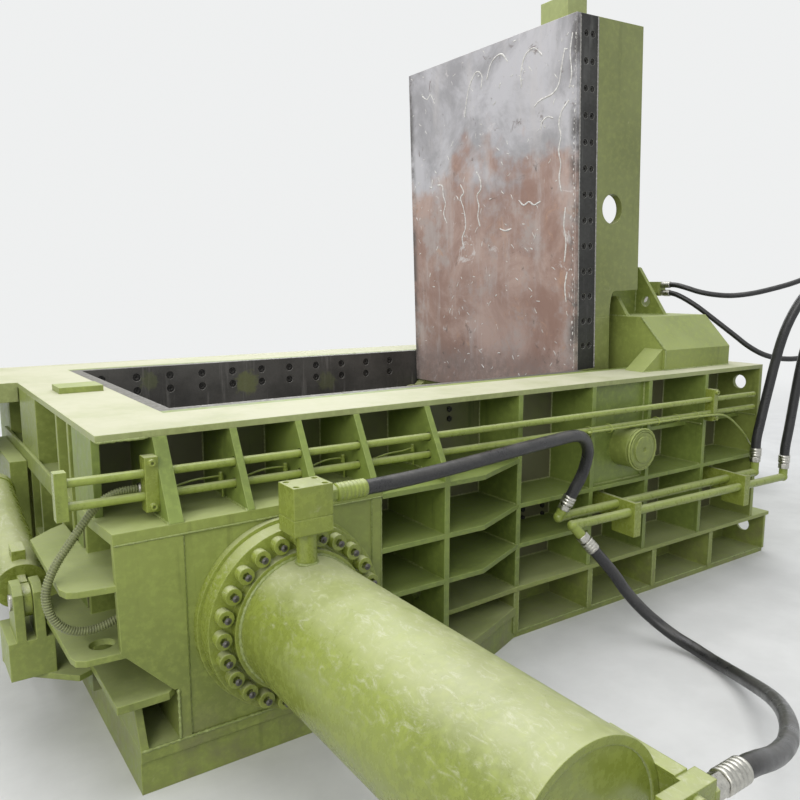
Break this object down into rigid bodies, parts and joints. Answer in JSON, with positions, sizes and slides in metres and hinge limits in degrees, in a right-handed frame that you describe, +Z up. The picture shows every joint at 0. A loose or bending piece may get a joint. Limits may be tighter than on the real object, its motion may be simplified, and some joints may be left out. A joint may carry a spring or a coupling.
{
  "type": "hydraulic scrap baler",
  "caption": "Hydraulic scrap baler with a ribbed press box, a hinged lid standing open, rams from the side and the rear, a sliding bale gate, steel tubes and hoses.",
  "frame": {"origin": "centre of the base plate on the floor, under the middle of the base's length and of the press box's width", "axes": "+X along the press box from the gate end to the main cylinder, +Y from the side cylinder to the plain far side, +Z up"},
  "size_m": [5.549, 3.938, 3.1675],
  "materials": {
    "olive_paint": "satin, dusty",
    "lime_paint": "satin",
    "wear_steel": "rolled, dark",
    "rusty_steel": "rusted and ground",
    "dark_bolts": "blackened",
    "bright_steel": "machined",
    "hose_rubber": "matt"
  },
  "bodies": {
    "frame": {"base_frame": "olive_paint", "near_wall": "olive_paint", "far_wall": "olive_paint", "left_end": "olive_paint", "right_end": "olive_paint", "top_flange": "olive_paint", "ram_house": "olive_paint", "ram_roof": "olive_paint", "near_liner": "wear_steel", "far_liner": "wear_steel", "left_liner": "wear_steel", "floor_liner": "wear_steel", "liner_bolts": "dark_bolts", "stop_pad": "olive_paint", "near_brace": "olive_paint", "far_brace": "olive_paint", "lid_rest_bar": "olive_paint", "rear_tower": "olive_paint", "hinge_bosses": "olive_paint", "hinge_pins": "bright_steel", "hinge_keepers": "olive_paint", "side_mount_ring": "lime_paint", "side_cylinder": "lime_paint", "side_bolts": "lime_paint", "side_port_block": "lime_paint", "side_port_bar": "lime_paint", "main_cylinder": "lime_paint", "main_bolts": "lime_paint", "lid_cyl_pin": "bright_steel", "gate_rails": "olive_paint", "gate_bracket": "olive_paint", "gate_cyl_pin": "bright_steel", "upper_tubes": "lime_paint", "lower_tubes": "lime_paint", "tube_clamps": "lime_paint", "lube_line": "lime_paint", "hose_ends": "bright_steel", "inlet_hose": "hose_rubber", "return_hose": "hose_rubber", "riser_hoses": "hose_rubber", "lid_hoses": "hose_rubber", "guarded_hose": "hose_rubber"},
    "lid": {"lid_frame": "olive_paint", "lid_arms": "olive_paint", "lid_wear_plate": "rusty_steel", "lid_blades": "wear_steel", "lid_blade_bolts": "dark_bolts", "lid_top_block": "lime_paint"},
    "main_ram_body": {"main_ram": "olive_paint", "main_ram_cap": "olive_paint", "main_ram_face": "wear_steel", "main_rod": "bright_steel"},
    "side_ram_body": {"side_ram": "olive_paint", "side_ram_face": "wear_steel", "side_rod": "bright_steel"},
    "gate_body": {"gate": "olive_paint"},
    "lid_barrel": {"lid_cyl_barrel": "lime_paint"},
    "lid_rod": {"lid_cyl_rod": "bright_steel"},
    "gate_barrel": {"gate_cyl_barrel": "lime_paint"},
    "gate_rod": {"gate_cyl_rod": "bright_steel"}
  },
  "joints": [
    {"name": "lid_hinge", "type": "hinge", "parent": "frame", "child": "lid", "pos_m": [0.563, 0, 0.805], "axis": [0, -1, 0], "range_deg": [0, 87.9]},
    {"name": "main_slide", "type": "slide", "parent": "frame", "child": "main_ram_body", "axis": [-1, 0, 0], "range_m": [0, 1.63]},
    {"name": "side_slide", "type": "slide", "parent": "frame", "child": "side_ram_body", "axis": [0, 1, 0], "range_m": [0, 1.03]},
    {"name": "gate_slide", "type": "slide", "parent": "frame", "child": "gate_body", "axis": [0, -1, 0], "range_m": [0, 0.65]},
    {"name": "lid_cyl_swing", "type": "hinge", "parent": "frame", "child": "lid_barrel", "pos_m": [1.938, 0, 1.5], "axis": [0, 1, 0], "range_deg": [0, 5.2]},
    {"name": "lid_rod_slide", "type": "slide", "parent": "lid_barrel", "child": "lid_rod", "axis": [-0.9602, 0, -0.2794], "range_m": [0, 0.707]},
    {"name": "gate_cyl_swing", "type": "hinge", "parent": "frame", "child": "gate_barrel", "pos_m": [-2.092, -0.79, 0.545], "axis": [1, 0, 0], "range_deg": [0, 8.7]},
    {"name": "gate_rod_slide", "type": "slide", "parent": "gate_barrel", "child": "gate_rod", "axis": [0, -0.9748, -0.2233], "range_m": [0, 0.623]}
  ],
  "couplings": [
    {"joint": "lid_cyl_swing", "follows": "lid_hinge", "ratio": 0.05808},
    {"joint": "lid_rod_slide", "follows": "lid_hinge", "m_per_rad": 0.4604},
    {"joint": "gate_cyl_swing", "follows": "gate_slide", "rad_per_m": 0.23162},
    {"joint": "gate_rod_slide", "follows": "gate_slide", "ratio": 0.95792}
  ]
}
